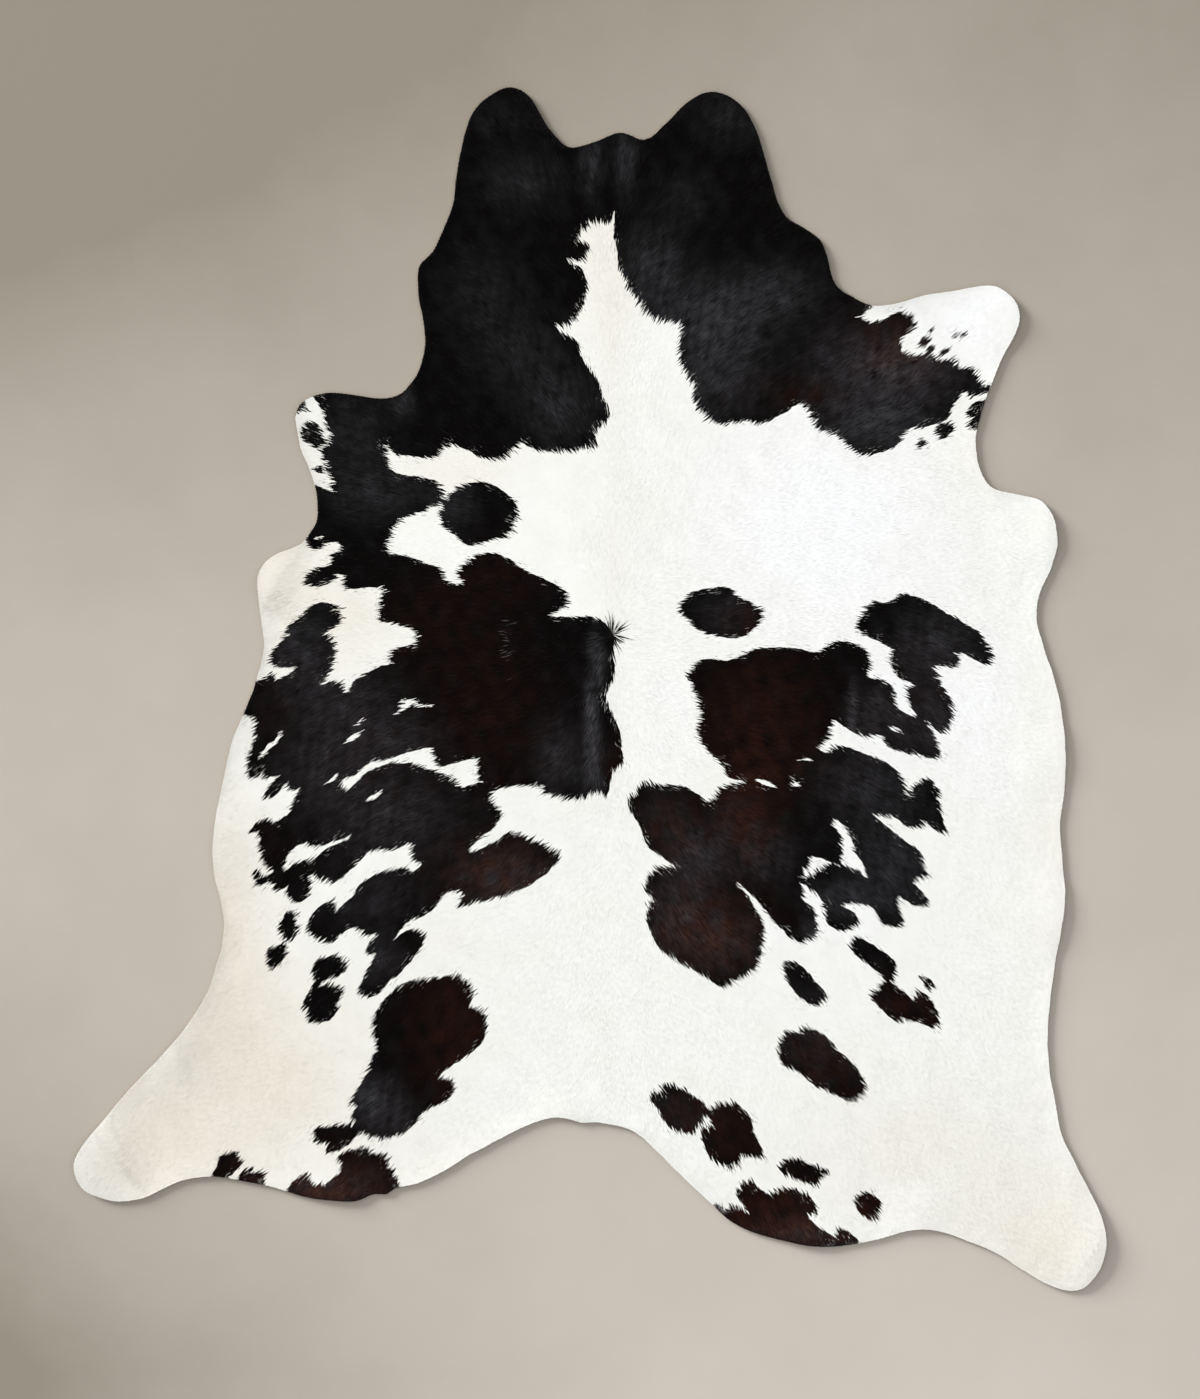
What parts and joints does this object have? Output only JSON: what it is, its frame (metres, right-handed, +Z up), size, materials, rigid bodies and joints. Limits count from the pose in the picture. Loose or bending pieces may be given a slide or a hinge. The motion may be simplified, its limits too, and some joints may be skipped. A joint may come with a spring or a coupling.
{
  "type": "cowhide rug",
  "caption": "Whole hair-on cowhide cut to the animal's outline, with ears, legs and belly flaps, lying flat as a floor rug.",
  "frame": {"origin": "centre of the bounding box, on the floor under the middle of the hide", "axes": "+Y along the spine towards the head, +X to the right as the rug is looked down on, +Z up"},
  "size_m": [1.909, 2.2251, 0.0159],
  "materials": {
    "cowhide": "short glossy hair, white with black and dark brown patches, over suede leather"
  },
  "bodies": {
    "root": {"hide": "cowhide"}
  },
  "joints": []
}
